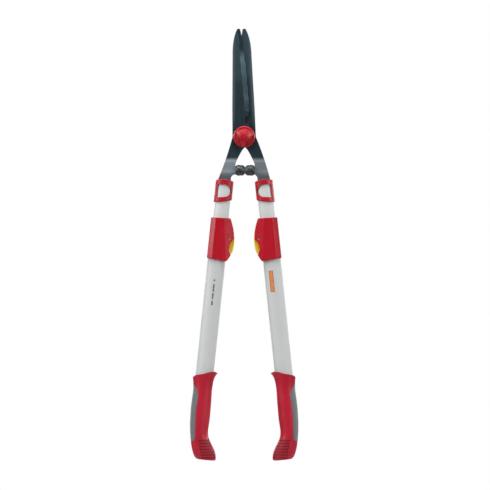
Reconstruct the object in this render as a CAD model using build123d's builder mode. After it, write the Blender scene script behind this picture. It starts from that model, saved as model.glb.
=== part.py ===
"""Telescopic hedge shears: two forged blades on a pivot bolt, with sliding oval tube handles.

Frame: the origin is on the pivot axis, in the plane where the two blades meet. +Z runs up to
the blade tips, +X to the right, and the tension knob is on the front, towards -Y.
Millimetres. The right handle is modelled and the left one is its mirror image.
"""

import math
import os

from build123d import *

os.makedirs("parts", exist_ok=True)

# ---------------------------------------------------------------- driving dimensions

# blades, in the pair's own frame: u across from its centre line, v along it
PLATE = 4.0                 # thickness of each forged blade
SHEAR_GAP = 0.2             # gap between the blades' inner faces
REAR_FACE = SHEAR_GAP / 2 + PLATE      # outer face of the rear blade
PAIR_LEAN = 1.5             # the closed blade pair leans left by this angle
TIP_V = 175.3
EDGE_TOP_V = 158.5          # where the cutting edge ends and the tip's bevel starts
EDGE_BASE_V = 46.0
EDGE_TOP_U = -1.2
EDGE_BASE_U = -9.0
EDGE_BOW = 0.9
EDGE_WAVE = 0.35
EDGE_WAVES = 6
BEVEL_WIDTH = 5.5
BEVEL_DEPTH = 3.3
BOSS_RADIUS = 17.0
NECK_SHIFT = 1.2            # both tangs' necks lie this far to the right of the pivot

# joggle that brings each tang from its blade's plane into the tubes' plane
JOGGLE_TOP_Z = -35.0
JOGGLE_BOTTOM_Z = -58.0

# stop buffers
STOP_X = 1.3                # plane where the two buffers meet
STOP_Z = -54.0
BUFFER_LENGTH = 15.35
BUFFER_RADIUS = 8.8
STOP_GAP = 0.15
STUB_LENGTH = 8.5
STUB_HEIGHT = 8.0
SEAT = BUFFER_LENGTH + STOP_GAP / 2     # from the stop plane to a buffer's seat

# handle axis: s runs down from the point J under the tang, o runs outwards
HANDLE_ANGLE = 5.95
JOINT_X = 31.16
JOINT_Z = -68.0
TONGUE_HALF_WIDTH = 8.0
TONGUE_END = 42.0

# oval tubes: every oval is an offset of the inner tube's outside
OVAL_HALF_WIDTH = 12.4
OVAL_HALF_DEPTH = 7.65
OVAL_END_RADIUS = 6.0
INNER_WALL = 1.5
TUBE_GAP = 0.35
OUTER_WALL = 1.7
OUTER_OFFSET = TUBE_GAP + OUTER_WALL
INNER_TUBE_TOP = 5.0
INNER_TUBE_END = 340.0
OUTER_TUBE_TOP = 100.0
OUTER_TUBE_END = 330.0
STROKE = 200.0
LOCK_STEPS = 6              # the stroke is divided into this many lock positions

# ferrule
FERRULE_OFFSET = 2.1
RIVET_RADIUS = 2.0
RIVET_PLACES = [(5.0, 33.2), (-5.0, 30.8)]

# lock housing, rocker lever and its pin
HOUSING_HALF_DEPTH = 12.5
BUSH_INNER = 0.3
BUSH_OUTER = 1.5
BUSH_TOP = 65.0
BUSH_END = 80.0
PIVOT_O = -17.9
PIVOT_S = 95.9
LEVER_PIN_RADIUS = 1.5
LEVER_HALF_WIDTH = 5.3
SLOT_HALF_WIDTH = 5.7
STUD_S = 86.0
STUD_RADIUS = 2.5
SPRING_S = 111.5
SPRING_RADIUS = 2.0
SPRING_WIRE = 0.25
SCREW_PLACES = [108.0, 124.0]
SCREW_RADIUS = 1.5
SCREW_HEAD_RADIUS = 3.1
SCREW_SEAT = 10.3           # depth behind the tubes' plane of the seat of a screw's head
SCREW_TOP = HOUSING_HALF_DEPTH - 0.3
CROSS_LENGTH = 3.8          # cross recess in a screw's head
CROSS_WIDTH = 0.9
CROSS_DEPTH = 1.1

# pivot stack, distances forward of the shear plane
BOLT_RADIUS = 4.0
BUSH_RADIUS = 6.0
RUNNING_GAP = 0.05
WASHER_BACK = 4.2
WASHER_FRONT = 5.4
KNOB_BACK = 7.0
NUT_FRONT = 13.5
KNOB_RADIUS = 17.6
KNOB_DISC_FRONT = 11.8
KNOB_WING_FRONT = 19.3
HUB_FRONT = 19.5
NUT_FLATS = 13.0
WING_ANGLE = 22.0
WING_CENTRE = 8.0
WING_LENGTH = 17.0
WING_WIDTH = 10.0
CAP_BACK = 17.8
CAP_RADIUS = 4.6

# grip
GRIP_TOP_OUTER = 325.1
GRIP_TOP_INNER = 313.5
GRIP_CAVITY_END = 348.0
GRIP_HOLLOW_END = 404.0
SKIN = 1.4                  # depth of the inlay's recess
PAD_PROUD = 0.3
RIB_COUNT = 7
RIB_PITCH = 4.6
RIB_WIDTH = 2.2
RIB_DEPTH = 0.9
RIB_TOP_Z = -491.5
# (s, innermost o, outermost o, half depth) of the grip's form
GRIP_SECTIONS = [
    (307.0, -20.4, 20.4, 13.8),
    (318.0, -18.5, 19.4, 12.9),
    (326.0, -15.7, 18.2, 12.2),
    (335.0, -14.8, 16.5, 11.9),
    (346.0, -14.6, 15.5, 12.2),
    (356.0, -15.1, 15.9, 12.8),
    (367.0, -15.5, 16.2, 13.3),
    (378.0, -15.7, 16.2, 13.6),
    (388.0, -15.8, 15.7, 13.8),
    (397.0, -15.5, 15.3, 13.8),
    (406.0, -15.1, 14.4, 13.8),
    (415.0, -15.8, 13.2, 13.8),
    (423.0, -18.8, 11.8, 13.7),
    (431.0, -23.6, 10.4, 13.5),
    (440.0, -28.9, 8.0, 13.2),
    (449.0, -31.8, 4.4, 12.8),
    (455.6, -32.0, -1.5, 12.2),
]

LEAN = math.radians(PAIR_LEAN)
TILT = math.radians(HANDLE_ANGLE)


# ---------------------------------------------------------------- frames and outlines


def on_handle(o, s):
    """The (x, z) place of a point o outwards and s down along the right handle."""
    x = JOINT_X + o * math.cos(TILT) + s * math.sin(TILT)
    z = JOINT_Z + o * math.sin(TILT) - s * math.cos(TILT)
    return (x, z)


def handle_front():
    """Plane through the handle axis that faces the front: local x is o, local y is -s."""
    return Plane(
        origin=(JOINT_X, 0, JOINT_Z),
        x_dir=(math.cos(TILT), 0, math.sin(TILT)),
        z_dir=(0, -1, 0),
    )


def handle_cross(s):
    """Plane square to the handle axis at s: local x is o, local y the front, normal down."""
    x, z = on_handle(0, s)
    return Plane(
        origin=(x, 0, z),
        x_dir=(math.cos(TILT), 0, math.sin(TILT)),
        z_dir=(math.sin(TILT), 0, -math.cos(TILT)),
    )


def handle_side(o, s):
    """Plane square to the o direction, facing inwards: local x is the front, local y is up."""
    x, z = on_handle(o, s)
    return Plane(
        origin=(x, 0, z),
        x_dir=(0, -1, 0),
        z_dir=(-math.cos(TILT), 0, -math.sin(TILT)),
    )


def oval(offset):
    """Closed four-arc oval, an offset of the inner tube's outside."""
    half_width = OVAL_HALF_WIDTH + offset
    half_depth = OVAL_HALF_DEPTH + offset
    end_radius = OVAL_END_RADIUS + offset
    centre = half_width - end_radius
    crown = (centre**2 + half_depth**2 - end_radius**2) / (2 * (half_depth - end_radius))
    join_x = centre + end_radius * centre / (crown - end_radius)
    join_y = end_radius * (crown - half_depth) / (crown - end_radius)
    ThreePointArc((-join_x, join_y), (0, half_depth), (join_x, join_y))
    ThreePointArc((join_x, join_y), (half_width, 0), (join_x, -join_y))
    ThreePointArc((join_x, -join_y), (0, -half_depth), (-join_x, -join_y))
    ThreePointArc((-join_x, -join_y), (-half_width, 0), (-join_x, join_y))


def oval_bar(top, end, offset, mode=Mode.ADD):
    """Solid oval from s = top to s = end, in the part being built."""
    with BuildSketch(handle_cross(top)) as section:
        with BuildLine():
            oval(offset)
        make_face()
    extrude(section.sketch, amount=end - top, mode=mode)


def save(piece, name):
    piece.label = name
    export_step(piece, f"parts/{name}.step")


def save_pair(right_piece, name):
    """Write the right-hand piece, and its mirror image as the left-hand piece."""
    save(right_piece, f"right_{name}")
    with BuildPart() as left_copy:
        mirror(right_piece, about=Plane.YZ)
    save(left_copy.part, f"left_{name}")


# ---------------------------------------------------------------- blades


def edge_points():
    """Points along the wavy cutting edge, from the tip down to its base."""
    count = 4 * EDGE_WAVES
    points = []
    for i in range(count + 1):
        part_way = i / count
        v = EDGE_TOP_V + (EDGE_BASE_V - EDGE_TOP_V) * part_way
        straight = EDGE_TOP_U + (EDGE_BASE_U - EDGE_TOP_U) * part_way
        bow = EDGE_BOW * math.sin(math.pi * part_way)
        wave = EDGE_WAVE * math.sin(2 * math.pi * EDGE_WAVES * part_way)
        points.append((straight - bow - wave, v))
    return points


def make_blade(spine, lug_x):
    """One blade and its tang. spine is -1 for the front blade, whose spine is on the left
    and whose tang goes to the right, and +1 for the rear blade. lug_x is the distance of
    the buffer's seat from the centre plane."""
    tang = -spine

    def leaned(u, v):
        across = spine * u
        x = across * math.cos(LEAN) - v * math.sin(LEAN)
        z = across * math.sin(LEAN) + v * math.cos(LEAN)
        return (x, z)

    def side(x, z):
        return (tang * x, z)

    def neck(x, z):
        return (tang * x + NECK_SHIFT, z)

    front = Plane.XZ
    inner_face = spine * SHEAR_GAP / 2
    outer_face = spine * (SHEAR_GAP / 2 + PLATE)
    cutting_edge = [leaned(u, v) for u, v in edge_points()]

    with BuildPart() as blade:
        # flat outline of blade, boss and tang
        with BuildSketch(front):
            with BuildLine():
                Polyline(leaned(19.0, -3), leaned(18.2, 44), leaned(15.4, 131))
                Spline(
                    leaned(15.4, 131),
                    leaned(14.35, 149),
                    leaned(11.85, 162),
                    leaned(6.6, TIP_V),
                )
                Polyline(leaned(6.6, TIP_V), leaned(2.2, TIP_V), cutting_edge[0])
                Spline(*cutting_edge)
                Spline(cutting_edge[-1], leaned(-7.9, 39), leaned(-6.0, 33.5))
                ThreePointArc(leaned(-6.0, 33.5), leaned(-1.0, 27.0), leaned(-7.5, 20.5))
                Polyline(leaned(-7.5, 20.5), leaned(-7.0, 0), leaned(19.0, -3))
            make_face()
            Circle(BOSS_RADIUS)
            with BuildLine():
                Polyline(side(-6, 14), side(17.8, 5), side(19.05, 0))
                Spline(side(19.05, 0), neck(27.5, -25.0), side(*on_handle(10.8, 1.1)))
                Polyline(
                    side(*on_handle(10.8, 1.1)),
                    side(*on_handle(TONGUE_HALF_WIDTH, 4.6)),
                    side(*on_handle(TONGUE_HALF_WIDTH, TONGUE_END)),
                    side(*on_handle(-TONGUE_HALF_WIDTH, TONGUE_END)),
                    side(*on_handle(-TONGUE_HALF_WIDTH, 4.6)),
                    side(*on_handle(-10.0, 1.1)),
                )
                ThreePointArc(
                    side(*on_handle(-10.0, 1.1)),
                    side(19.7, -63.0),
                    side(lug_x, -60.8),
                )
                Polyline(
                    side(lug_x, -60.8),
                    side(lug_x, STOP_Z - STUB_HEIGHT / 2),
                    side(lug_x - STUB_LENGTH, STOP_Z - STUB_HEIGHT / 2),
                    side(lug_x - STUB_LENGTH, STOP_Z + STUB_HEIGHT / 2),
                    side(lug_x, STOP_Z + STUB_HEIGHT / 2),
                    side(lug_x, -43.5),
                )
                Spline(
                    side(lug_x, -43.5),
                    neck(13.0, -37.3),
                    neck(9.6, -30.8),
                    neck(4.05, -21.0),
                    neck(0, -16.6),
                )
                Polyline(neck(0, -16.6), side(-6, 14))
            make_face()
        extrude(amount=30, both=True)

        # side profile: flat blade, then the joggle into the tubes' plane
        with BuildSketch(Plane.YZ):
            with BuildLine():
                Polyline(
                    (inner_face, TIP_V + 10),
                    (inner_face, JOGGLE_TOP_Z),
                    (-spine * PLATE / 2, JOGGLE_BOTTOM_Z),
                    (-spine * PLATE / 2, -120),
                    (spine * PLATE / 2, -120),
                    (spine * PLATE / 2, JOGGLE_BOTTOM_Z),
                    (outer_face, JOGGLE_TOP_Z),
                    (outer_face, TIP_V + 10),
                    close=True,
                )
            bends = make_face().vertices().filter_by_position(
                Axis.Y, JOGGLE_BOTTOM_Z - 1, JOGGLE_TOP_Z + 1
            )
            fillet(bends, radius=20)
        extrude(amount=80, both=True, mode=Mode.INTERSECT)

        # ground bevel of the cutting edge, on the outer face
        flat = blade.faces().filter_by(Axis.Y).sort_by(Axis.Y)[0 if spine < 0 else -1]
        cutting = flat.edges().filter_by(GeomType.BSPLINE).sort_by(SortBy.LENGTH)[-1]
        chamfer(cutting, length=BEVEL_WIDTH, length2=BEVEL_DEPTH, reference=flat)

        # rivet holes in the tongue
        with BuildSketch(front):
            for o, s in RIVET_PLACES:
                with Locations(side(*on_handle(o, s))):
                    Circle(RIVET_RADIUS)
        extrude(amount=10, both=True, mode=Mode.SUBTRACT)

        # pivot hole: round for the bush in the front blade, square in the rear blade
        with BuildSketch(front):
            if spine < 0:
                Circle(BUSH_RADIUS + RUNNING_GAP)
            else:
                Rectangle(2 * BOLT_RADIUS, 2 * BOLT_RADIUS)
        extrude(amount=10, both=True, mode=Mode.SUBTRACT)
    return blade


# ---------------------------------------------------------------- pivot stack


def make_pivot_bolt():
    with BuildPart() as pivot_bolt:
        with BuildSketch(Plane.XY):
            with BuildLine():
                Polyline((0, 7.9), (5.5, 7.9))
                ThreePointArc((5.5, 7.9), (9.2, 7.1), (11.0, 5.1))
                Polyline(
                    (11.0, 5.1),
                    (11.0, REAR_FACE),
                    (BOLT_RADIUS, REAR_FACE),
                    (BOLT_RADIUS, -16.0),
                    (BOLT_RADIUS - 0.7, -16.7),
                    (0, -16.7),
                    (0, 7.9),
                )
            make_face()
        revolve(axis=Axis.Y)
        # square neck in the rear blade
        with BuildSketch(Plane.XZ.offset(-REAR_FACE)):
            Rectangle(2 * BOLT_RADIUS, 2 * BOLT_RADIUS)
        extrude(amount=PLATE)
    return pivot_bolt


def make_ring(back, front, inner_radius, outer_radius):
    """Flat ring on the pivot axis between two distances forward of the shear plane."""
    with BuildPart() as ring:
        with BuildSketch(Plane.XZ.offset(back)):
            Circle(outer_radius)
            Circle(inner_radius, mode=Mode.SUBTRACT)
        extrude(amount=front - back)
        rims = ring.edges().filter_by(GeomType.CIRCLE)
        chamfer(rims, length=0.2)
    return ring


def make_spring_washer():
    """Conical washer, its inner rim against the nut."""
    with BuildPart() as spring_washer:
        with BuildSketch(Plane.XY):
            with BuildLine():
                Polyline((4.4, -5.95), (4.4, -6.95), (10.6, -6.42), (10.6, -5.42), close=True)
            make_face()
        revolve(axis=Axis.Y)
    return spring_washer


def make_nut():
    with BuildPart() as tension_nut:
        with BuildSketch(Plane.XZ.offset(KNOB_BACK)):
            RegularPolygon(radius=NUT_FLATS / 2, side_count=6, major_radius=False)
            Circle(BOLT_RADIUS + RUNNING_GAP, mode=Mode.SUBTRACT)
        extrude(amount=NUT_FRONT - KNOB_BACK)
    return tension_nut


def make_knob():
    """Domed knob with three wings round its hub, and a skirt behind over the washers."""
    with BuildPart() as tension_knob:
        with BuildSketch(Plane.XY):
            with BuildLine():
                Polyline((0, -KNOB_BACK), (13.0, -KNOB_BACK), (13.0, -4.9), (KNOB_RADIUS, -4.9))
                Line((KNOB_RADIUS, -4.9), (KNOB_RADIUS, -9.2))
                ThreePointArc((KNOB_RADIUS, -9.2), (17.1, -10.9), (15.8, -KNOB_DISC_FRONT))
                ThreePointArc((15.8, -KNOB_DISC_FRONT), (13.2, -11.4), (10.6, -12.2))
                ThreePointArc((10.6, -12.2), (9.3, -16.4), (5.8, -HUB_FRONT))
                Polyline((5.8, -HUB_FRONT), (0, -HUB_FRONT), (0, -KNOB_BACK))
            make_face()
        revolve(axis=Axis.Y)
        # three wings
        for wing in range(3):
            with BuildSketch(Plane.XZ.offset(9.0)):
                with PolarLocations(WING_CENTRE, 1, start_angle=WING_ANGLE + 120 * wing):
                    SlotOverall(WING_LENGTH, WING_WIDTH)
            extrude(amount=KNOB_WING_FRONT - 9.0, taper=8)
        # dome that the wings and the hub end under
        with BuildSketch(Plane.XY):
            with BuildLine():
                ThreePointArc((0, -HUB_FRONT), (10.0, -17.2), (KNOB_RADIUS, -10.8))
                Polyline((KNOB_RADIUS, -10.8), (25, -10.8), (25, -30), (0, -30), (0, -HUB_FRONT))
            make_face()
        revolve(axis=Axis.Y, mode=Mode.SUBTRACT)
        # hexagon pocket, bolt bore and cap seat
        with BuildSketch(Plane.XZ.offset(KNOB_BACK)):
            RegularPolygon(radius=NUT_FLATS / 2, side_count=6, major_radius=False)
        extrude(amount=NUT_FRONT - KNOB_BACK, mode=Mode.SUBTRACT)
        with BuildSketch(Plane.XZ.offset(KNOB_BACK)):
            Circle(BOLT_RADIUS + 0.3)
        extrude(amount=12, mode=Mode.SUBTRACT)
        with BuildSketch(Plane.XZ.offset(CAP_BACK)):
            Circle(CAP_RADIUS)
        extrude(amount=5, mode=Mode.SUBTRACT)
    return tension_knob


def make_knob_cap():
    with BuildPart() as knob_cap:
        with BuildSketch(Plane.XZ.offset(CAP_BACK)):
            Circle(CAP_RADIUS)
        extrude(amount=2.2)
        rim = knob_cap.edges().group_by(Axis.Y)[0]
        fillet(rim, radius=0.7)
    return knob_cap


# ---------------------------------------------------------------- stops and tube ends


def make_buffer(seat_x, blade):
    """Rubber buffer from its seat on a tang to the stop plane, slotted over the stub."""
    inward = -1 if seat_x > 0 else 1

    def profile(distance, radius):
        return (seat_x + inward * distance, STOP_Z + radius)

    with BuildPart() as buffer:
        with BuildSketch(Plane.XZ):
            with BuildLine():
                Line(profile(0, 0), profile(0, BUFFER_RADIUS - 2.4))
                ThreePointArc(
                    profile(0, BUFFER_RADIUS - 2.4),
                    profile(2.0, BUFFER_RADIUS - 0.7),
                    profile(5.2, BUFFER_RADIUS),
                )
                Polyline(
                    profile(5.2, BUFFER_RADIUS),
                    profile(7.4, BUFFER_RADIUS),
                    profile(7.8, BUFFER_RADIUS - 0.6),
                    profile(8.6, BUFFER_RADIUS - 0.6),
                    profile(9.0, BUFFER_RADIUS - 0.1),
                )
                ThreePointArc(
                    profile(9.0, BUFFER_RADIUS - 0.1),
                    profile(13.2, BUFFER_RADIUS - 1.2),
                    profile(BUFFER_LENGTH, BUFFER_RADIUS - 3.4),
                )
                Polyline(
                    profile(BUFFER_LENGTH, BUFFER_RADIUS - 3.4),
                    profile(BUFFER_LENGTH, 0),
                    profile(0, 0),
                )
            make_face()
        revolve(axis=Axis((0, 0, STOP_Z), (1, 0, 0)))
        add(blade, mode=Mode.SUBTRACT)
    return buffer


def make_ferrule():
    """Red end cap over the tube's top, with a D-shaped window in its front and back."""
    with BuildPart() as ferrule:
        oval_bar(-3, 44, FERRULE_OFFSET)
        with BuildSketch(handle_front()):
            with BuildLine():
                ThreePointArc((-16, -3.6), (0, -0.9), (16, -3.4))
                Line((16, -3.4), (16, -38.8))
                ThreePointArc((16, -38.8), (0, -37.0), (-16, -32.8))
                Line((-16, -32.8), (-16, -3.6))
            make_face()
        extrude(amount=30, both=True, mode=Mode.INTERSECT)
        fillet(ferrule.edges(), radius=0.6)
        # D-shaped window
        with BuildSketch(handle_front()):
            with BuildLine():
                Line((10.4, -30.9), (10.4, -10.3))
                Spline(
                    (10.4, -10.3),
                    (1.2, -8.9),
                    (-7.6, -11.2),
                    (-12.0, -18.4),
                    (-9.0, -26.0),
                    (0.2, -29.6),
                    (10.4, -30.9),
                )
            make_face()
        extrude(amount=30, both=True, mode=Mode.SUBTRACT)
        # seat of the tube and slot of the tang
        oval_bar(INNER_TUBE_TOP, 50, 0, mode=Mode.SUBTRACT)
        with BuildSketch(handle_front()):
            with Locations((0.2, -2)):
                Rectangle(22.6, 8)
        extrude(amount=PLATE / 2 + 0.3, both=True, mode=Mode.SUBTRACT)
    return ferrule


def rivet_circles():
    for o, s in RIVET_PLACES:
        with Locations((o, -s)):
            Circle(RIVET_RADIUS)


def make_tang_insert():
    with BuildPart() as tang_insert:
        oval_bar(INNER_TUBE_TOP, 48, -INNER_WALL)
        with BuildSketch(handle_front()):
            with Locations((0, -TONGUE_END / 2)):
                Rectangle(2 * TONGUE_HALF_WIDTH, TONGUE_END)
        extrude(amount=PLATE / 2, both=True, mode=Mode.SUBTRACT)
        with BuildSketch(handle_front()):
            rivet_circles()
        extrude(amount=20, both=True, mode=Mode.SUBTRACT)
    return tang_insert


def make_tang_rivets():
    with BuildPart() as tang_rivets:
        with BuildSketch(handle_front()):
            rivet_circles()
        extrude(amount=20, both=True)
        oval_bar(0, 50, -0.1, mode=Mode.INTERSECT)
    return tang_rivets


# ---------------------------------------------------------------- tubes


def make_inner_tube():
    with BuildPart() as inner_tube:
        oval_bar(INNER_TUBE_TOP, INNER_TUBE_END, 0)
        oval_bar(INNER_TUBE_TOP, INNER_TUBE_END, -INNER_WALL, mode=Mode.SUBTRACT)
        with BuildSketch(handle_front()):
            rivet_circles()
        extrude(amount=20, both=True, mode=Mode.SUBTRACT)
        # lock slots in the side that faces the other handle
        for step in range(LOCK_STEPS + 1):
            s = STUD_S - 0.5 + step * STROKE / LOCK_STEPS
            with BuildSketch(handle_side(-8, s)):
                RectangleRounded(5.6, 6.8, 2.6)
            extrude(amount=8, mode=Mode.SUBTRACT)
    return inner_tube


def make_slide_plug():
    with BuildPart() as slide_plug:
        oval_bar(INNER_TUBE_END - 12, INNER_TUBE_END, -INNER_WALL)
        oval_bar(INNER_TUBE_END, INNER_TUBE_END + 4, 0.05)
        oval_bar(INNER_TUBE_END - 12, INNER_TUBE_END + 4, -3.2, mode=Mode.SUBTRACT)
    return slide_plug


def screw_holes(radius, from_depth, to_depth, mode):
    """Round bars along Y at the housing screws' places, from one depth behind to another."""
    for s in SCREW_PLACES:
        with BuildSketch(Plane.XZ.offset(-to_depth)) as circle:
            with Locations(on_handle(0, s)):
                Circle(radius)
        extrude(circle.sketch, amount=to_depth - from_depth, mode=mode)


def make_outer_tube():
    with BuildPart() as outer_tube:
        oval_bar(OUTER_TUBE_TOP, OUTER_TUBE_END, OUTER_OFFSET)
        oval_bar(OUTER_TUBE_TOP, OUTER_TUBE_END, TUBE_GAP, mode=Mode.SUBTRACT)
        screw_holes(SCREW_RADIUS, 4, 14, Mode.SUBTRACT)
    return outer_tube


# ---------------------------------------------------------------- lock housing and rocker


def make_guide_bush():
    with BuildPart() as guide_bush:
        oval_bar(BUSH_TOP, BUSH_END, BUSH_OUTER)
        oval_bar(BUSH_TOP, BUSH_END, BUSH_INNER, mode=Mode.SUBTRACT)
    return guide_bush


def facet_cut(start, end, slope, reach):
    """Plane off the front and back beside the line from start to end, both (o, s): the
    depth falls by slope for each millimetre from the line, on the side to its right."""
    d_o = end[0] - start[0]
    d_s = end[1] - start[1]
    length = math.hypot(d_o, d_s)
    d_o = d_o / length
    d_s = d_s / length
    o_axis = Vector(math.cos(TILT), 0, math.sin(TILT))
    s_axis = Vector(math.sin(TILT), 0, -math.cos(TILT))
    x, z = on_handle(start[0] - 60 * d_o, start[1] - 60 * d_s)
    across = Plane(
        origin=(x, 0, z),
        x_dir=s_axis * d_o - o_axis * d_s,
        z_dir=o_axis * d_o + s_axis * d_s,
    )
    with BuildSketch(across) as wedges:
        for face in (-1, 1):
            with BuildLine():
                Polyline(
                    (0, face * HOUSING_HALF_DEPTH),
                    (reach, face * (HOUSING_HALF_DEPTH - slope * reach)),
                    (reach, face * (HOUSING_HALF_DEPTH + 5)),
                    (0, face * (HOUSING_HALF_DEPTH + 5)),
                    close=True,
                )
            make_face()
    extrude(wedges.sketch, amount=length + 120, mode=Mode.SUBTRACT)


def make_lock_housing():
    with BuildPart() as lock_housing:
        with BuildSketch(handle_front()):
            with BuildLine():
                Polyline((-15.6, -62.6), (15.9, -64.0), (15.9, -130.4), (-16.3, -132.4))
                ThreePointArc((-16.3, -132.4), (-23.4, -117.0), (-25.2, -104.0))
                ThreePointArc((-25.2, -104.0), (-22.3, -80.6), (-15.6, -62.6))
            outline = make_face()
            fillet(outline.vertices(), radius=1.4)
        extrude(amount=HOUSING_HALF_DEPTH, both=True)
        facet_cut((8.0, 135), (8.0, 60), 0.68, 12)
        facet_cut((-7.0, 74), (-13.8, 122), 0.34, 24)
        fillet(lock_housing.edges(), radius=0.7)
        # bores for the bush, the inner tube and the outer tube
        oval_bar(55, BUSH_END, BUSH_OUTER, mode=Mode.SUBTRACT)
        oval_bar(BUSH_END, OUTER_TUBE_TOP, 0.6, mode=Mode.SUBTRACT)
        oval_bar(OUTER_TUBE_TOP, 140, OUTER_OFFSET, mode=Mode.SUBTRACT)
        # slot that holds the rocker, and the stud's window into the bore
        with BuildSketch(handle_front()):
            with BuildLine():
                Polyline(
                    (-40, -80.5),
                    (-14.1, -80.5),
                    (-14.1, -99.0),
                    (-15.2, -99.0),
                    (-15.2, -122.0),
                    (-40, -122.0),
                    close=True,
                )
            make_face()
        extrude(amount=SLOT_HALF_WIDTH, both=True, mode=Mode.SUBTRACT)
        with BuildSketch(handle_front()):
            with Locations((-13.5, -STUD_S)):
                Rectangle(5, 8.4)
        extrude(amount=3.4, both=True, mode=Mode.SUBTRACT)
        # thumb scallop on both faces
        with BuildSketch(handle_front()):
            with Locations((-35.3, -110)):
                Circle(17.3)
        extrude(amount=30, both=True, mode=Mode.SUBTRACT)
        # pin hole and screw holes
        with BuildSketch(handle_front()):
            with Locations((PIVOT_O, -PIVOT_S)):
                Circle(LEVER_PIN_RADIUS)
        extrude(amount=30, both=True, mode=Mode.SUBTRACT)
        screw_holes(SCREW_RADIUS, 4, 14, Mode.SUBTRACT)
        screw_holes(SCREW_HEAD_RADIUS, SCREW_SEAT, 14, Mode.SUBTRACT)
    return lock_housing


def make_housing_screws():
    with BuildPart() as housing_screws:
        screw_holes(SCREW_RADIUS, 8.3, SCREW_SEAT, Mode.ADD)
        screw_holes(SCREW_HEAD_RADIUS, SCREW_SEAT, SCREW_TOP, Mode.ADD)
        rims = housing_screws.edges().filter_by(GeomType.CIRCLE).group_by(Axis.Y)[-1]
        fillet(rims, radius=0.4)
        # cross recess in each head
        for s in SCREW_PLACES:
            with BuildSketch(Plane.XZ.offset(-SCREW_TOP)):
                with Locations(on_handle(0, s)):
                    Rectangle(CROSS_LENGTH, CROSS_WIDTH)
                    Rectangle(CROSS_WIDTH, CROSS_LENGTH)
            extrude(amount=CROSS_DEPTH, mode=Mode.SUBTRACT)
    return housing_screws


def make_lock_lever():
    """Rocker: its lower pad is pressed towards the tube to lift the stud at its top."""
    with BuildPart() as lock_lever:
        with BuildSketch(handle_front()):
            with BuildLine():
                ThreePointArc((-22.9, -81.6), (-25.0, -93.0), (-25.8, -105.0))
                ThreePointArc((-25.8, -105.0), (-25.2, -112.8), (-22.8, -119.4))
                Polyline(
                    (-22.8, -119.4),
                    (-19.9, -119.6),
                    (-18.0, -109.0),
                    (-18.3, -101.0),
                    (-15.2, -91.0),
                    (-15.2, -82.2),
                    (-22.9, -81.6),
                )
            make_face()
            with Locations((PIVOT_O, -PIVOT_S)):
                Circle(3.4)
        extrude(amount=LEVER_HALF_WIDTH, both=True)
        rims = lock_lever.faces().filter_by(Axis.Y).edges()
        fillet(rims.filter_by(GeomType.CIRCLE).group_by(SortBy.RADIUS)[-1], radius=0.8)
        # pin bore, stud hole and spring pocket
        with BuildSketch(handle_front()):
            with Locations((PIVOT_O, -PIVOT_S)):
                Circle(LEVER_PIN_RADIUS + RUNNING_GAP)
        extrude(amount=20, both=True, mode=Mode.SUBTRACT)
        with BuildSketch(handle_side(-10, STUD_S)):
            Circle(STUD_RADIUS)
        extrude(amount=10.5, mode=Mode.SUBTRACT)
        with BuildSketch(handle_side(-14, SPRING_S)):
            Circle(SPRING_RADIUS + SPRING_WIRE + 0.35)
        extrude(amount=7.2, mode=Mode.SUBTRACT)
        # grooves across the thumb pad
        for step in range(4):
            s = 105.0 + 3.2 * step
            o = -26.2 + 0.0115 * (s - 105) ** 2
            with BuildSketch(handle_front()):
                with Locations((o, -s)):
                    Circle(0.9)
            extrude(amount=20, both=True, mode=Mode.SUBTRACT)
    return lock_lever


def make_lock_stud():
    with BuildPart() as lock_stud:
        with BuildSketch(handle_side(-11.3, STUD_S)):
            Circle(STUD_RADIUS)
        extrude(amount=9.2)
        chamfer(lock_stud.edges().sort_by(Axis.X)[-1], length=0.4)
    return lock_stud


def make_lever_pin():
    with BuildPart() as lever_pin:
        with BuildSketch(handle_front()):
            with Locations((PIVOT_O, -PIVOT_S)):
                Circle(LEVER_PIN_RADIUS)
        extrude(amount=9.3, both=True)
    return lever_pin


def make_lever_spring():
    x, z = on_handle(-15.2 - SPRING_WIRE - 0.05, SPRING_S)
    with BuildPart() as lever_spring:
        with BuildLine():
            coil = Helix(
                pitch=1.2,
                height=5.0,
                radius=SPRING_RADIUS,
                center=(x, 0, z),
                direction=(-math.cos(TILT), 0, -math.sin(TILT)),
            )
        with BuildSketch(Plane(origin=coil @ 0, z_dir=coil % 0)):
            Circle(SPRING_WIRE)
        sweep(is_frenet=True)
    return lever_spring


# ---------------------------------------------------------------- grip


def grip_body(grow, mode=Mode.ADD):
    """The grip's outer form, lofted through ellipses square to the handle axis."""
    sections = []
    for s, inner, outer, half_depth in GRIP_SECTIONS:
        with BuildSketch(handle_cross(s)) as section:
            with Locations(((inner + outer) / 2, 0)):
                Ellipse((outer - inner) / 2 + grow, half_depth + grow)
        sections.append(section.sketch.faces()[0])
    loft(sections, mode=mode)


def pad_region(mode):
    """Prism over the outer side of the grip, in which the soft inlay lies."""
    with BuildSketch(handle_front()) as region:
        with BuildLine():
            Spline((30, -322), (15.2, -336.3), (7.4, -350), (7.6, -370), (6.5, -401), (5.2, -419))
            Spline((5.2, -419), (6.6, -426), (12, -428.5), (30, -429))
            Line((30, -429), (30, -322))
        make_face()
    extrude(region.sketch, amount=40, both=True, mode=mode)


def make_grip_pad():
    with BuildPart() as grip_pad:
        grip_body(PAD_PROUD)
        pad_region(Mode.INTERSECT)
        grip_body(-SKIN, mode=Mode.SUBTRACT)
    return grip_pad


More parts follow.
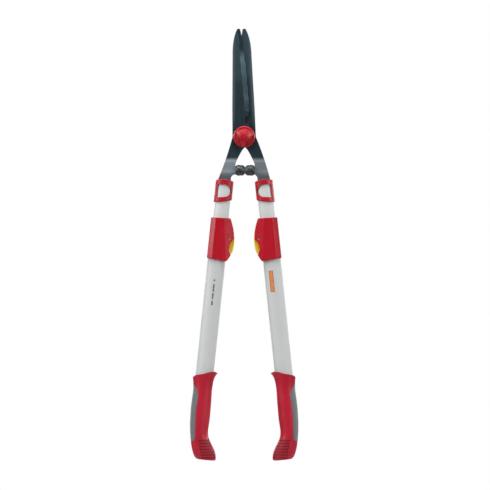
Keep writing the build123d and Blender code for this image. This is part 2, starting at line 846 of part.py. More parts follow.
def rib_grooves():
    """Level grooves over the lower inner part of the grip, front and back."""
    with BuildPart() as grooves:
        with BuildSketch(Plane.XZ):
            for step in range(RIB_COUNT):
                z = RIB_TOP_Z - step * RIB_PITCH
                inner_x = 57.0 - 0.355 * step * RIB_PITCH
                outer_x = 74.1 - 0.160 * step * RIB_PITCH
                with Locations(((inner_x + outer_x) / 2, z)):
                    SlotOverall(outer_x - inner_x, RIB_WIDTH)
        extrude(amount=30, both=True)
        grip_body(-RIB_DEPTH, mode=Mode.SUBTRACT)
    return grooves


def make_grip(pad):
    with BuildPart() as grip:
        grip_body(0)
        fillet(grip.faces().sort_by(Axis.Z)[0].edges(), radius=2.5)
        # slanted, slightly crowned top of the flange
        with BuildSketch(handle_front()):
            with BuildLine():
                Spline(
                    (-40, -GRIP_TOP_INNER - 12),
                    (-18.9, -GRIP_TOP_INNER),
                    (-12.0, -GRIP_TOP_INNER + 1.0),
                    (2.0, -317.2),
                    (14.0, -320.9),
                    (18.9, -GRIP_TOP_OUTER),
                    (40, -GRIP_TOP_OUTER - 40),
                )
                Polyline(
                    (40, -GRIP_TOP_OUTER - 40),
                    (40, -280),
                    (-40, -280),
                    (-40, -GRIP_TOP_INNER - 12),
                )
            make_face()
        extrude(amount=40, both=True, mode=Mode.SUBTRACT)
        # socket of the outer tube, run-in space of the inner tube, moulded hollow
        oval_bar(300, OUTER_TUBE_END, OUTER_OFFSET, mode=Mode.SUBTRACT)
        oval_bar(OUTER_TUBE_END, GRIP_CAVITY_END, TUBE_GAP + 0.05, mode=Mode.SUBTRACT)
        oval_bar(GRIP_CAVITY_END, GRIP_HOLLOW_END, -1.5, mode=Mode.SUBTRACT)
        add(pad, mode=Mode.SUBTRACT)
        add(rib_grooves().part, mode=Mode.SUBTRACT)
    return grip


# ---------------------------------------------------------------- all pieces

front_blade = make_blade(spine=-1, lug_x=SEAT + STOP_X)
rear_blade = make_blade(spine=1, lug_x=SEAT - STOP_X)
save(front_blade.part, "front_blade")
save(rear_blade.part, "rear_blade")

save(make_pivot_bolt().part, "pivot_bolt")
save(make_ring(-SHEAR_GAP / 2, WASHER_BACK, BOLT_RADIUS, BUSH_RADIUS).part, "pivot_bush")
save(make_ring(WASHER_BACK, WASHER_FRONT, BOLT_RADIUS + 0.3, 12.0).part, "front_washer")
save(make_spring_washer().part, "spring_washer")
save(make_nut().part, "tension_nut")
save(make_knob().part, "tension_knob")
save(make_knob_cap().part, "knob_cap")

save(make_buffer(SEAT + STOP_X, front_blade.part).part, "right_buffer")
save(make_buffer(STOP_X - SEAT, rear_blade.part).part, "left_buffer")

save_pair(make_ferrule().part, "ferrule")
save_pair(make_tang_insert().part, "tang_insert")
save_pair(make_tang_rivets().part, "tang_rivets")
save_pair(make_inner_tube().part, "inner_tube")
save_pair(make_slide_plug().part, "slide_plug")
save_pair(make_guide_bush().part, "guide_bush")
save_pair(make_outer_tube().part, "outer_tube")
save_pair(make_lock_housing().part, "lock_housing")
save_pair(make_housing_screws().part, "housing_screws")
save_pair(make_lock_lever().part, "lock_lever")
save_pair(make_lock_stud().part, "lock_stud")
save_pair(make_lever_pin().part, "lever_pin")
save_pair(make_lever_spring().part, "lever_spring")

grip_pad = make_grip_pad()
save_pair(make_grip(grip_pad.part).part, "grip")
save_pair(grip_pad.part, "grip_pad")
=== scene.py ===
"""Looks for the telescopic hedge shears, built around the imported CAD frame.

Metres, in the CAD's frame: the origin is on the pivot axis in the plane where the blades
meet, +Z runs up to the tips, +X to the right, and the front faces -Y.
"""

import math

import bmesh
import bpy
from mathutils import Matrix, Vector


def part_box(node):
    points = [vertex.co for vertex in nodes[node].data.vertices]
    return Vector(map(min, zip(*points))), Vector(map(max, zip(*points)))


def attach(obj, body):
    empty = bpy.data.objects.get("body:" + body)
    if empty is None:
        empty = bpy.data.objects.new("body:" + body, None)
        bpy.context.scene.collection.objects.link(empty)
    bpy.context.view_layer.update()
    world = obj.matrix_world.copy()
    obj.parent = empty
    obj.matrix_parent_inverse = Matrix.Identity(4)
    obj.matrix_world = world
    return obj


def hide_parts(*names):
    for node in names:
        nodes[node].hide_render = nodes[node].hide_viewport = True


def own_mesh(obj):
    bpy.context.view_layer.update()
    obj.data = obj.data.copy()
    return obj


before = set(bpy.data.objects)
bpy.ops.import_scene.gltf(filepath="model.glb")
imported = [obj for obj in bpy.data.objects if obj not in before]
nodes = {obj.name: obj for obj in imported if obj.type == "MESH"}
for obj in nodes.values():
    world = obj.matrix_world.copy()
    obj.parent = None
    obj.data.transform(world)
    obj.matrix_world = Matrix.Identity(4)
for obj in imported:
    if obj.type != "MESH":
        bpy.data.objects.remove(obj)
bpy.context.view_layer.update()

MM = 0.001
TILT = math.radians(5.95)           # lean of each handle
LEAN = math.radians(1.5)            # lean of the closed blade pair
HANDLE_TOP = Vector((31.16 * MM, 0.0, -68.0 * MM))
SIDES = {"left": -1.0, "right": 1.0}

BLADE_TAPER = 0.028                 # how much each blade narrows, for its length
RIB_TOP = -491.5 * MM               # highest groove of a grip, and the way down to the next
RIB_PITCH = 4.6 * MM
PANEL_LOW, PANEL_HIGH = -520.5 * MM, -489.5 * MM
PANEL_SLOPE, PANEL_OFFSET = 0.160, 152.8 * MM       # the ribbed corner's outer border

SPRING_ROOT = (-15.5 * MM, 111.5 * MM)      # outwards and down from the handle's top
SPRING_HEIGHT = 5.0 * MM
SPRING_RADIUS = 2.0 * MM
SPRING_WIRE = 0.25 * MM             # radius of the wire

FLOOR_LEVEL = -0.76
VIEW_DISTANCE = 5.0
VIEW_WIDTH = 0.7938                 # width of what the camera takes in at the object
VIEW_CENTRE = Vector((0.0013, 0.0, -0.175))


# ---------------------------------------------------------------- camera, floor and light


def make_camera():
    data = bpy.data.cameras.new("camera")
    data.sensor_width = 36.0
    data.lens = data.sensor_width * VIEW_DISTANCE / VIEW_WIDTH
    data.clip_end = 50.0
    camera = bpy.data.objects.new("camera", data)
    camera.location = VIEW_CENTRE - Vector((0.0, VIEW_DISTANCE, 0.0))
    camera.rotation_euler = (math.radians(90.0), 0.0, 0.0)
    bpy.context.scene.collection.objects.link(camera)
    bpy.context.scene.camera = camera


def make_softbox(name, place, size, power, tint=(1.0, 1.0, 1.0)):
    data = bpy.data.lights.new(name, "AREA")
    data.shape = "RECTANGLE"
    data.size, data.size_y = size
    data.energy = power
    data.color = tint
    light = bpy.data.objects.new(name, data)
    light.location = place
    aim = VIEW_CENTRE - Vector(place)
    light.rotation_euler = aim.to_track_quat("-Z", "Y").to_euler()
    bpy.context.scene.collection.objects.link(light)


def make_world():
    """White surroundings, and a softer dome of light that is brighter from above."""
    world = bpy.data.worlds.new("studio")
    world.use_nodes = True
    tree = world.node_tree
    tree.nodes.clear()
    out = tree.nodes.new("ShaderNodeOutputWorld")
    mix = tree.nodes.new("ShaderNodeMixShader")
    path = tree.nodes.new("ShaderNodeLightPath")
    seen = tree.nodes.new("ShaderNodeBackground")
    seen.inputs["Color"].default_value = (1.0, 1.0, 1.0, 1.0)
    seen.inputs["Strength"].default_value = 1.0
    dome = tree.nodes.new("ShaderNodeBackground")
    place = tree.nodes.new("ShaderNodeTexCoord")
    split = tree.nodes.new("ShaderNodeSeparateXYZ")
    height = tree.nodes.new("ShaderNodeMapRange")
    height.inputs["From Min"].default_value = -1.0
    height.inputs["To Min"].default_value = 0.05
    height.inputs["To Max"].default_value = 0.37
    tree.links.new(place.outputs["Generated"], split.inputs[0])
    tree.links.new(split.outputs["Z"], height.inputs["Value"])
    tree.links.new(height.outputs[0], dome.inputs["Strength"])
    tree.links.new(path.outputs["Is Camera Ray"], mix.inputs[0])
    tree.links.new(dome.outputs[0], mix.inputs[1])
    tree.links.new(seen.outputs[0], mix.inputs[2])
    tree.links.new(mix.outputs[0], out.inputs["Surface"])
    bpy.context.scene.world = world


def make_floor():
    """Round pale floor whose rim fades out, so that no edge shows against the white."""
    rings, spokes, radius = 24, 72, 1.15
    verts = [(0.0, 0.0, FLOOR_LEVEL)]
    for ring in range(1, rings + 1):
        for spoke in range(spokes):
            turn = 2 * math.pi * spoke / spokes
            reach = radius * ring / rings
            verts.append((reach * math.cos(turn), reach * math.sin(turn), FLOOR_LEVEL))
    faces = []
    for spoke in range(spokes):
        after = (spoke + 1) % spokes
        faces.append((0, 1 + spoke, 1 + after))
        for ring in range(rings - 1):
            here = 1 + ring * spokes
            out = here + spokes
            faces.append((here + spoke, out + spoke, out + after, here + after))
    mesh = bpy.data.meshes.new("floor")
    mesh.from_pydata(verts, [], faces)
    floor = bpy.data.objects.new("floor", mesh)
    bpy.context.scene.collection.objects.link(floor)
    graph = Graph("floor_paper")
    graph.shader.inputs["Roughness"].default_value = 0.7
    graph.shader.inputs["Specular IOR Level"].default_value = 0.2
    grain = graph.noise(graph.place(), 90.0, detail=3.0)
    graph.set("Base Color", graph.mix(grain, (0.60, 0.60, 0.605), (0.64, 0.64, 0.645)))
    length = graph.add("ShaderNodeVectorMath", operation="LENGTH")
    graph.put(length.inputs[0], graph.place())
    away = graph.span(length.outputs["Value"], 0.84, 1.33)
    clear = graph.add("ShaderNodeBsdfTransparent")
    fade = graph.add("ShaderNodeMixShader")
    graph.put(fade.inputs[0], away)
    graph.put(fade.inputs[1], graph.shader.outputs[0])
    graph.put(fade.inputs[2], clear.outputs[0])
    graph.put(graph.out.inputs["Surface"], fade.outputs[0])
    mesh.materials.append(graph.material)


# ---------------------------------------------------------------- node material helper


class Graph:
    """One node material round a Principled shader."""

    def __init__(self, name):
        self.material = bpy.data.materials.new(name)
        self.material.use_nodes = True
        self.tree = self.material.node_tree
        self.tree.nodes.clear()
        self.out = self.add("ShaderNodeOutputMaterial")
        self.shader = self.add("ShaderNodeBsdfPrincipled")
        self.put(self.out.inputs["Surface"], self.shader.outputs[0])
        self.coordinates = None

    def add(self, kind, **settings):
        node = self.tree.nodes.new(kind)
        for key, value in settings.items():
            setattr(node, key, value)
        return node

    def put(self, socket, value):
        """Link an output to the socket, or write a plain value into it."""
        if isinstance(value, bpy.types.NodeSocket):
            self.tree.links.new(value, socket)
        elif isinstance(value, tuple) and socket.type == "RGBA":
            socket.default_value = (*value, 1.0)
        else:
            socket.default_value = value

    def set(self, name, value):
        self.put(self.shader.inputs[name], value)

    def place(self):
        """Place in the piece's own frame, which is the CAD frame at rest."""
        if self.coordinates is None:
            self.coordinates = self.add("ShaderNodeTexCoord")
        return self.coordinates.outputs["Object"]

    def facing(self):
        """The surface direction in the piece's own frame."""
        self.place()
        return self.coordinates.outputs["Normal"]

    def turned(self, vector, origin, angle):
        """Coordinates in a frame at origin, turned by angle about Y."""
        mapping = self.add("ShaderNodeMapping", vector_type="TEXTURE")
        self.put(mapping.inputs["Vector"], vector)
        self.put(mapping.inputs["Location"], tuple(origin))
        self.put(mapping.inputs["Rotation"], (0.0, angle, 0.0))
        return mapping.outputs[0]

    def stretched(self, vector, x, y, z):
        scaled = self.add("ShaderNodeVectorMath", operation="MULTIPLY")
        self.put(scaled.inputs[0], vector)
        self.put(scaled.inputs[1], (x, y, z))
        return scaled.outputs[0]

    def parts(self, vector):
        split = self.add("ShaderNodeSeparateXYZ")
        self.put(split.inputs[0], vector)
        return split.outputs

    def noise(self, vector, scale, detail=4.0, roughness=0.55):
        node = self.add("ShaderNodeTexNoise")
        self.put(node.inputs["Vector"], vector)
        self.put(node.inputs["Scale"], scale)
        self.put(node.inputs["Detail"], detail)
        self.put(node.inputs["Roughness"], roughness)
        return node.outputs["Fac"]

    def cells(self, vector, scale):
        node = self.add("ShaderNodeTexVoronoi")
        self.put(node.inputs["Vector"], vector)
        self.put(node.inputs["Scale"], scale)
        return node.outputs["Distance"]

    def math(self, operation, a, b=0.0):
        node = self.add("ShaderNodeMath", operation=operation)
        self.put(node.inputs[0], a)
        self.put(node.inputs[1], b)
        return node.outputs[0]

    def span(self, value, low, high, to_low=0.0, to_high=1.0):
        """The value's way from low to high, clamped, as a number from to_low to to_high."""
        node = self.add("ShaderNodeMapRange")
        self.put(node.inputs["Value"], value)
        self.put(node.inputs["From Min"], low)
        self.put(node.inputs["From Max"], high)
        self.put(node.inputs["To Min"], to_low)
        self.put(node.inputs["To Max"], to_high)
        return node.outputs[0]

    def inside(self, value, low, high, soft):
        """1 between low and high, falling to 0 within soft outside them."""
        rise = self.span(value, low - soft, low)
        fall = self.span(value, high, high + soft, 1.0, 0.0)
        return self.math("MULTIPLY", rise, fall)

    def mix(self, factor, a, b):
        node = self.add("ShaderNodeMix", data_type="RGBA")
        self.put(node.inputs[0], factor)
        self.put(node.inputs[6], a)
        self.put(node.inputs[7], b)
        return node.outputs[2]

    def bump(self, height, depth, normal=None):
        """Relief of that depth in metres."""
        node = self.add("ShaderNodeBump")
        self.put(node.inputs["Strength"], 1.0)
        self.put(node.inputs["Distance"], depth)
        self.put(node.inputs["Height"], height)
        if normal is not None:
            self.put(node.inputs["Normal"], normal)
        return node.outputs[0]

    def rounded(self, radius):
        """The surface direction with every edge rounded."""
        node = self.add("ShaderNodeBevel", samples=4)
        self.put(node.inputs["Radius"], radius)
        return node.outputs[0]

    def edges(self, radius):
        """1 on the edges, 0 on the open faces."""
        flat = self.add("ShaderNodeNewGeometry")
        both = self.add("ShaderNodeVectorMath", operation="DOT_PRODUCT")
        self.put(both.inputs[0], self.rounded(radius))
        self.put(both.inputs[1], flat.outputs["Normal"])
        return self.span(both.outputs["Value"], 0.995, 0.88)

    def scratches(self, vector, scale):
        """Fine crossing hairlines, 1 on a line."""
        lines = None
        for turn in (0.5, 1.35, 2.4):
            mapping = self.add("ShaderNodeMapping")
            self.put(mapping.inputs["Vector"], vector)
            self.put(mapping.inputs["Rotation"], (0.0, turn, 0.0))
            self.put(mapping.inputs["Scale"], (1.0, 1.0, 0.02))
            line = self.span(self.noise(mapping.outputs[0], scale, 1.0), 0.70, 0.76)
            lines = line if lines is None else self.math("MAXIMUM", lines, line)
        return lines


def wear(graph, vector, radius, amount, scale=260.0):
    """Patchy rubbing along the edges."""
    patches = graph.span(graph.noise(vector, scale, 5.0, 0.7), 0.35, 0.7)
    return graph.math("MULTIPLY", graph.math("MULTIPLY", graph.edges(radius), patches), amount)


# ---------------------------------------------------------------- metals


def blade_steel(name):
    """Dark coated steel, brushed along the blade, with a ground bevel at its edge."""
    graph = Graph(f"{name}_coated_steel")
    along = graph.turned(graph.place(), (0.0, 0.0, 0.0), -LEAN)
    brushed = graph.noise(graph.stretched(along, 1.0, 1.0, 0.035), 2400.0, 3.0)
    clouds = graph.noise(graph.stretched(along, 1.0, 1.0, 0.45), 26.0, 4.0, 0.5)
    tone = graph.math("ADD", graph.math("MULTIPLY", brushed, 0.45), clouds)
    coat = graph.mix(graph.span(tone, 0.50, 0.90), (0.0105, 0.023, 0.030), (0.023, 0.043, 0.053))
    # the coat is paler over the blade's outer half and along its outer margin
    across, up = graph.parts(along)["X"], graph.parts(along)["Z"]
    paler_towards_tip = graph.math("MULTIPLY", graph.span(up, 0.084, 0.104),
                      graph.span(clouds, 0.2, 0.6, 0.7, 1.0))
    outward = graph.math("ADD", graph.math("ABSOLUTE", across),
                         graph.math("MULTIPLY", up, BLADE_TAPER))
    spine = graph.math("MULTIPLY", graph.span(outward, 0.0138, 0.0175, 0.0, 0.8),
                       graph.span(up, 0.010, 0.035))
    coat = graph.mix(paler_towards_tip, coat, (0.034, 0.064, 0.078))
    coat = graph.mix(spine, coat, (0.078, 0.108, 0.118))
    # from its joggle down the tang is uncoated steel, paler there partly as a painted reflection
    # and palest, as painted highlights, at the joggle's upper and lower bend
    level = graph.parts(graph.place())["Z"]
    bare_and_reflection = graph.span(level, -0.033, -0.039)
    bare_and_reflection = graph.math("MULTIPLY", bare_and_reflection, graph.span(clouds, 0.25, 0.6, 0.9, 1.0))
    upper_bend = graph.inside(level, -0.0385, -0.0360, 0.0035)
    lower_bend = graph.inside(level, -0.0570, -0.0550, 0.0030)
    bend_highlight = graph.math("MAXIMUM", upper_bend, graph.math("MULTIPLY", lower_bend, 0.4))
    tang_end = graph.span(level, -0.056, -0.064)
    # ground bevel: its face leans away from the flat one
    tilt = graph.math("ABSOLUTE", graph.parts(graph.facing())["Y"])
    ground = graph.inside(tilt, 0.78, 0.91, 0.03)
    lines = graph.noise(graph.stretched(along, 0.12, 1.0, 1.0), 3600.0, 2.0)
    steel = graph.mix(lines, (0.004, 0.011, 0.015), (0.009, 0.020, 0.026))
    colour = graph.mix(ground, coat, steel)
    # the edges are rubbed paler, which also paints a highlight along them
    worn = wear(graph, along, 0.0013, 1.0)
    colour = graph.mix(worn, colour, (0.13, 0.155, 0.175))
    # painted reflection on the tang: a pale band from the joggle down, brightest at its upper
    # bend, back to darker steel at the tang's end
    tang_steel_and_reflection = graph.mix(bend_highlight, (0.190, 0.222, 0.246), (0.300, 0.343, 0.376))
    tang_steel_and_reflection = graph.mix(tang_end, tang_steel_and_reflection, (0.094, 0.116, 0.133))
    colour = graph.mix(bare_and_reflection, colour, tang_steel_and_reflection)
    graph.set("Base Color", colour)
    graph.set("Metallic", 0.55)
    rough = graph.span(graph.math("ADD", brushed, clouds), 0.6, 1.4, 0.36, 0.5)
    graph.set("Roughness", graph.math("ADD", rough, graph.math("MULTIPLY", ground, 0.25)))
    graph.set("Specular IOR Level", 0.35)
    fine = graph.bump(graph.math("ADD", brushed, graph.math("MULTIPLY", lines, ground)), 0.00001,
                      graph.rounded(0.0005))
    graph.set("Normal", fine)
    return graph.material


def zinc_steel(name, axis_point=None):
    """Bright zinc plate over turned steel, with lathe rings about the Y axis."""
    graph = Graph(f"{name}_zinc")
    place = graph.place()
    if axis_point is not None:
        shift = graph.add("ShaderNodeVectorMath", operation="SUBTRACT")
        graph.put(shift.inputs[0], place)
        graph.put(shift.inputs[1], axis_point)
        place = shift.outputs[0]
    flat = graph.add("ShaderNodeVectorMath", operation="LENGTH")
    graph.put(flat.inputs[0], graph.stretched(place, 1.0, 0.0, 1.0))
    rings = graph.math("SINE", graph.math("MULTIPLY", flat.outputs["Value"], 15000.0))
    spangle = graph.noise(place, 420.0, 4.0)
    colour = graph.mix(spangle, (0.42, 0.44, 0.47), (0.60, 0.62, 0.63))
    worn = wear(graph, place, 0.0005, 0.6, 500.0)
    graph.set("Base Color", graph.mix(worn, colour, (0.75, 0.75, 0.73)))
    graph.set("Metallic", 0.9)
    graph.set("Roughness", graph.span(spangle, 0.3, 0.7, 0.26, 0.42))
    graph.set("Normal", graph.bump(rings, 0.000012, graph.rounded(0.0003)))
    return graph.material


def bronze(name):
    """Sintered bronze with open pores."""
    graph = Graph(f"{name}_sintered")
    place = graph.place()
    pores = graph.span(graph.cells(place, 2600.0), 0.1, 0.35)
    tone = graph.noise(place, 300.0)
    graph.set("Base Color", graph.mix(tone, (0.38, 0.20, 0.09), (0.52, 0.30, 0.13)))
    graph.set("Metallic", 0.85)
    graph.set("Roughness", graph.span(pores, 0.0, 1.0, 0.6, 0.38))
    graph.set("Normal", graph.bump(pores, 0.00003, graph.rounded(0.0002)))
    return graph.material


def aluminium(name, side, anodised):
    """Drawn oval tube: lengthwise die lines under a satin silver finish."""
    graph = Graph(f"{name}_aluminium")
    origin = Vector((SIDES[side] * HANDLE_TOP.x, 0.0, HANDLE_TOP.z))
    along = graph.turned(graph.place(), origin, -SIDES[side] * TILT)
    lines = graph.noise(graph.stretched(along, 1.0, 1.0, 0.012), 1500.0, 4.0, 0.65)
    speckle = graph.noise(along, 2600.0, 2.0)
    clouds = graph.noise(graph.stretched(along, 1.0, 1.0, 0.25), 30.0, 3.0)
    light, dark = ((0.448, 0.460, 0.458), (0.405, 0.417, 0.415))
    if anodised:
        light, dark = ((0.478, 0.493, 0.491), (0.435, 0.449, 0.447))
    tone = graph.math("ADD", graph.math("MULTIPLY", lines, 0.6),
                      graph.math("MULTIPLY", clouds, 0.4))
    colour = graph.mix(graph.span(tone, 0.35, 0.65), dark, light)
    hairs = graph.math("MULTIPLY", graph.scratches(along, 55.0), 0.25)
    colour = graph.mix(hairs, colour, (0.36, 0.37, 0.38))
    worn = wear(graph, along, 0.0006, 0.5)
    colour = graph.mix(worn, colour, (0.56, 0.57, 0.57))
    if not anodised:
        colour = printed_mark(graph, along, side, colour)
    graph.set("Base Color", colour)
    graph.set("Metallic", 0.15)
    graph.set("Specular IOR Level", 0.3)
    graph.set("Roughness", graph.span(graph.math("ADD", lines, speckle), 0.7, 1.3, 0.48, 0.62))
    relief = graph.math("ADD", lines, graph.math("MULTIPLY", speckle, 0.5))
    graph.set("Normal", graph.bump(relief, 0.000014, graph.rounded(0.0003)))
    return graph.material


def printed_mark(graph, along, side, colour):
    """Plain print on the tube's front: a row of dashes on the left, a bar on the right."""
    across, depth, height = (graph.parts(along)[axis] for axis in "XYZ")
    front = graph.span(depth, -0.004, -0.006)
    soft = 0.00025
    if side == "left":
        mask = None
        strip = graph.inside(across, -0.0013, 0.0013, soft)
        for top, length in ((163.5, 3.0), (171.0, 12.5), (186.0, 9.5), (198.5, 7.0)):
            dash = graph.inside(height, -(top + length) * MM, -top * MM, soft)
            mask = dash if mask is None else graph.math("MAXIMUM", mask, dash)
        mask = graph.math("MULTIPLY", mask, strip)
        ink = (0.10, 0.105, 0.11)
    else:
        bar = graph.inside(height, -0.1835, -0.1490, soft)
        strip = graph.inside(across, -0.0072, -0.0004, soft)
        mask = graph.math("MULTIPLY", bar, strip)
        core = graph.math("MULTIPLY", graph.inside(height, -0.1826, -0.1499, soft),
                          graph.inside(across, -0.0063, -0.0013, soft))
        ink = graph.mix(core, (0.20, 0.060, 0.012), (0.52, 0.165, 0.020))
    chips = graph.span(graph.noise(along, 1300.0, 3.0), 0.34, 0.42)
    mask = graph.math("MULTIPLY", graph.math("MULTIPLY", mask, front), chips)
    return graph.mix(mask, colour, ink)


# ---------------------------------------------------------------- plastics and rubber


def red_plastic(name, gloss, radius=0.0004, specular=0.32):
    """Moulded red plastic: spark-eroded texture, faint flow marks, rubbed edges."""
    graph = Graph(f"{name}_red_plastic")
    place = graph.place()
    flow = graph.noise(graph.stretched(place, 1.0, 1.0, 0.4), 45.0, 4.0, 0.6)
    erosion = graph.noise(place, 1900.0, 3.0, 0.6)
    is_grip = name.endswith("_grip")
    blue = 0.005 if is_grip else 0.0
    deep, pale = (0.290, 0.0035, 0.0105 + blue), (0.335, 0.0050, 0.0140 + blue)
    colour = graph.mix(graph.span(flow, 0.3, 0.7), deep, pale)
    worn = wear(graph, place, 0.0008, 0.45)
    colour = graph.mix(worn, colour, (0.55, 0.045, 0.05))
    hairs = graph.math("MULTIPLY", graph.scratches(place, 70.0), 0.22)
    colour = graph.mix(hairs, colour, (0.52, 0.05, 0.06))
    rough = graph.span(graph.math("ADD", erosion, flow), 0.7, 1.3, gloss - 0.06, gloss + 0.08)
    if is_grip:
        ribs, grooves = rib_panel(graph, place)
        colour = graph.mix(graph.math("MULTIPLY", ribs, 0.9), colour, (0.242, 0.0030, 0.0155))
        # painted shade: the grooves are a darker red for the shade that falls in them
        colour = graph.mix(grooves, colour, (0.160, 0.0013, 0.0080))
        rough = graph.math("ADD", rough, graph.math("MULTIPLY", ribs, 0.22))
    graph.set("Base Color", colour)
    graph.set("Roughness", rough)
    graph.set("Specular IOR Level", specular)
    # mould seam round the part, where its two halves meet
    seam = graph.span(graph.math("ABSOLUTE", graph.parts(place)["Y"]), 0.0001, 0.00035, 1.0, 0.0)
    relief = graph.math("ADD", erosion, graph.math("MULTIPLY", seam, 3.0))
    edge = graph.rounded(radius) if radius else None
    graph.set("Normal", graph.bump(relief, 0.00003, edge))
    return graph.material


def rib_panel(graph, place):
    """Masks of a grip's ribbed inner corner, a duller red, and of its grooves, a darker red that
    is painted shade.
    """
    across, height = graph.parts(place)["X"], graph.parts(place)["Z"]
    border = graph.math("ADD", graph.math("MULTIPLY", height, PANEL_SLOPE), PANEL_OFFSET)
    beyond = graph.math("SUBTRACT", graph.math("ABSOLUTE", across), border)
    panel = graph.math("MULTIPLY", graph.span(beyond, 0.0006, -0.0006),
                       graph.inside(height, PANEL_LOW, PANEL_HIGH, 0.0008))
    steps = graph.math("DIVIDE", graph.math("SUBTRACT", RIB_TOP, height), RIB_PITCH)
    in_step = graph.math("FRACT", graph.math("ADD", steps, 0.5))
    off_centre = graph.math("ABSOLUTE", graph.math("SUBTRACT", in_step, 0.5))
    return panel, graph.math("MULTIPLY", panel, graph.span(off_centre, 0.10, 0.25, 1.0, 0.0))


def yellow_plastic(name):
    graph = Graph(f"{name}_yellow_plastic")
    place = graph.place()
    flow = graph.noise(place, 110.0, 4.0)
    erosion = graph.noise(place, 2400.0, 3.0)
    colour = graph.mix(graph.span(flow, 0.3, 0.7), (0.66, 0.43, 0.008), (0.76, 0.52, 0.014))
    worn = wear(graph, place, 0.0006, 0.4)
    graph.set("Base Color", graph.mix(worn, colour, (0.80, 0.66, 0.16)))
    graph.set("Roughness", graph.span(erosion, 0.3, 0.7, 0.36, 0.5))
    graph.set("Normal", graph.bump(erosion, 0.00002, graph.rounded(0.0005)))
    return graph.material


def black_plastic(name):
    graph = Graph(f"{name}_black_plastic")
    place = graph.place()
    erosion = graph.noise(place, 1700.0, 3.0)
    flow = graph.noise(place, 80.0)
    graph.set("Base Color", graph.mix(flow, (0.010, 0.010, 0.011), (0.022, 0.022, 0.024)))
    graph.set("Roughness", graph.span(erosion, 0.3, 0.7, 0.45, 0.6))
    graph.set("Normal", graph.bump(erosion, 0.00002, graph.rounded(0.0003)))
    return graph.material


def black_rubber(name):
    """Moulded rubber with a bloomed, dusty skin."""
    graph = Graph(f"{name}_rubber")
    place = graph.place()
    bloom = graph.noise(place, 160.0, 5.0, 0.65)
    grain = graph.noise(place, 1400.0, 3.0)
    colour = graph.mix(graph.span(bloom, 0.4, 0.75), (0.004, 0.0085, 0.011), (0.017, 0.028, 0.035))
    worn = wear(graph, place, 0.0006, 0.3)
    graph.set("Base Color", graph.mix(worn, colour, (0.035, 0.047, 0.055)))
    graph.set("Roughness", graph.span(bloom, 0.3, 0.7, 0.34, 0.5))
    graph.set("Sheen Weight", 0.15)
    graph.set("Sheen Roughness", 0.5)
    graph.set("Normal", graph.bump(grain, 0.00003, graph.rounded(0.0005)))
    return graph.material


def grey_soft(name):
    """Soft inlay with a fine pebbled grain, darker in its pits than on its crowns."""
    graph = Graph(f"{name}_soft_grey")
    place = graph.place()
    pebbles = graph.cells(place, 1050.0)
    dust = graph.noise(place, 60.0, 5.0, 0.6)
    colour = graph.mix(graph.span(dust, 0.3, 0.7), (0.072, 0.079, 0.085), (0.092, 0.100, 0.107))
    pits = graph.span(pebbles, 0.25, 0.7)
    colour = graph.mix(graph.math("MULTIPLY", pits, 0.35), colour, (0.055, 0.058, 0.061))
    worn = wear(graph, place, 0.0008, 0.4)
    graph.set("Base Color", graph.mix(worn, colour, (0.19, 0.19, 0.20)))
    graph.set("Roughness", graph.span(dust, 0.3, 0.7, 0.62, 0.78))
    graph.set("Sheen Weight", 0.2)
    graph.set("Sheen Roughness", 0.6)
    graph.set("Normal", graph.bump(pits, 0.00006, graph.rounded(0.0005)))
    return graph.material


# ---------------------------------------------------------------- lever springs


def make_lever_spring(side):
    """Coil of round wire with closed ends, riding on its handle in place of the imported lever
    spring.
    """
    flip = SIDES[side]
    outward = Vector((flip * math.cos(TILT), 0.0, math.sin(TILT)))
    downward = Vector((flip * math.sin(TILT), 0.0, -math.cos(TILT)))
    front = Vector((0.0, -1.0, 0.0))
    root = Vector((flip * HANDLE_TOP.x, 0.0, HANDLE_TOP.z))
    root += outward * SPRING_ROOT[0] + downward * SPRING_ROOT[1]
    turns, closed_turns, per_turn, wire_sides = 5.0, 0.8, 28, 10
    closed_rise = 2.1 * SPRING_WIRE * closed_turns
    knots = ((0.0, 0.0), (closed_turns, closed_rise),
             (turns - closed_turns, SPRING_HEIGHT - closed_rise), (turns, SPRING_HEIGHT))
    rungs = int(turns * per_turn)
    mesh = bmesh.new()
    rings = []
    for rung in range(rungs + 1):
        turn = turns * rung / rungs
        for (low, low_rise), (high, high_rise) in zip(knots, knots[1:]):
            if turn <= high + 1e-9:
                rise = low_rise + (high_rise - low_rise) * (turn - low) / (high - low)
                break
        angle = 2 * math.pi * turn
        spoke = front * math.cos(angle) + downward * math.sin(angle)
        centre = root + spoke * SPRING_RADIUS - outward * rise
        rings.append([
            mesh.verts.new(centre + SPRING_WIRE * (
                spoke * math.cos(2 * math.pi * corner / wire_sides)
                + outward * math.sin(2 * math.pi * corner / wire_sides)))
            for corner in range(wire_sides)
        ])
    for here, after in zip(rings, rings[1:]):
        for corner in range(wire_sides):
            beside = (corner + 1) % wire_sides
            mesh.faces.new((here[corner], here[beside], after[beside], after[corner]))
    mesh.faces.new(rings[0])
    mesh.faces.new(rings[-1])
    bmesh.ops.recalc_face_normals(mesh, faces=mesh.faces[:])
    for face in mesh.faces:
        face.smooth = len(face.verts) == 4
    data = bpy.data.meshes.new(f"{side}_coil_spring")
    mesh.to_mesh(data)
    mesh.free()
    spring = bpy.data.objects.new(f"{side}_coil_spring", data)
    bpy.context.scene.collection.objects.link(spring)
    data.materials.append(zinc_steel(spring.name, tuple(root)))
    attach(spring, f"{side}_handle")
    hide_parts(f"{side}_lever_spring")
    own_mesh(spring)


# ---------------------------------------------------------------- finish of each CAD node


def node_centre(name):
    low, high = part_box(name)
    return (low + high) / 2


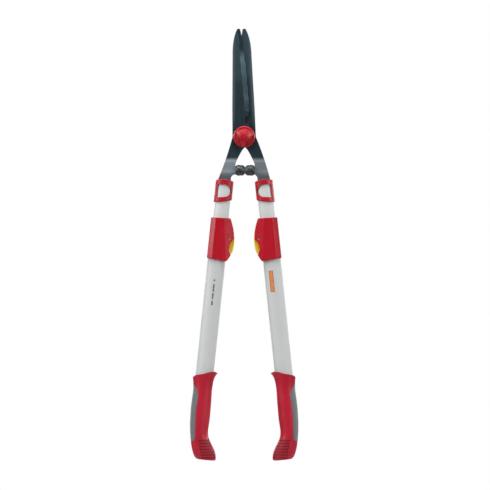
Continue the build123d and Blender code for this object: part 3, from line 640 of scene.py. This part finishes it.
def finish_node(name, material):
    slots = nodes[name].data.materials
    slots.clear()
    slots.append(material)


def finish_pivot():
    for name in ("front_blade", "rear_blade"):
        finish_node(name, blade_steel(name))
    for name in ("pivot_bolt", "front_washer", "spring_washer", "tension_nut"):
        finish_node(name, zinc_steel(name))
    finish_node("pivot_bush", bronze("pivot_bush"))
    finish_node("tension_knob", red_plastic("tension_knob", 0.38, 0.0009, 0.36))
    finish_node("knob_cap", red_plastic("knob_cap", 0.32))


def finish_handle(side):
    finish_node(f"{side}_buffer", black_rubber(f"{side}_buffer"))
    for part in ("tang_insert", "slide_plug", "guide_bush"):
        finish_node(f"{side}_{part}", black_plastic(f"{side}_{part}"))
    for part, gloss, radius in (
        ("ferrule", 0.38, 0.0010),
        ("lock_housing", 0.25, 0.0012),
        ("grip", 0.40, None),
    ):
        finish_node(f"{side}_{part}", red_plastic(f"{side}_{part}", gloss, radius))
    for part in ("tang_rivets", "housing_screws", "lock_stud", "lever_pin"):
        name = f"{side}_{part}"
        finish_node(name, zinc_steel(name, tuple(node_centre(name))))
    finish_node(f"{side}_lock_lever", yellow_plastic(f"{side}_lock_lever"))
    finish_node(f"{side}_grip_pad", grey_soft(f"{side}_grip_pad"))
    finish_node(f"{side}_inner_tube", aluminium(f"{side}_inner_tube", side, True))
    finish_node(f"{side}_outer_tube", aluminium(f"{side}_outer_tube", side, False))


# ---------------------------------------------------------------- the scene

make_camera()
bpy.context.scene.view_settings.view_transform = "Standard"
make_world()
make_floor()
make_softbox("key_left", (-2.7, -1.6, 1.0), (1.3, 1.9), 88.0)
make_softbox("side_right", (2.2, -1.8, 0.7), (0.9, 1.6), 52.0)
make_softbox("top", (-0.2, -1.0, 2.3), (1.8, 1.1), 78.0)
make_softbox("back_left", (-1.9, 2.3, 0.9), (1.2, 1.5), 55.0)
make_softbox("back_right", (2.6, 1.2, 0.5), (1.2, 1.5), 44.0)

finish_pivot()
for handle in SIDES:
    finish_handle(handle)
    make_lever_spring(handle)
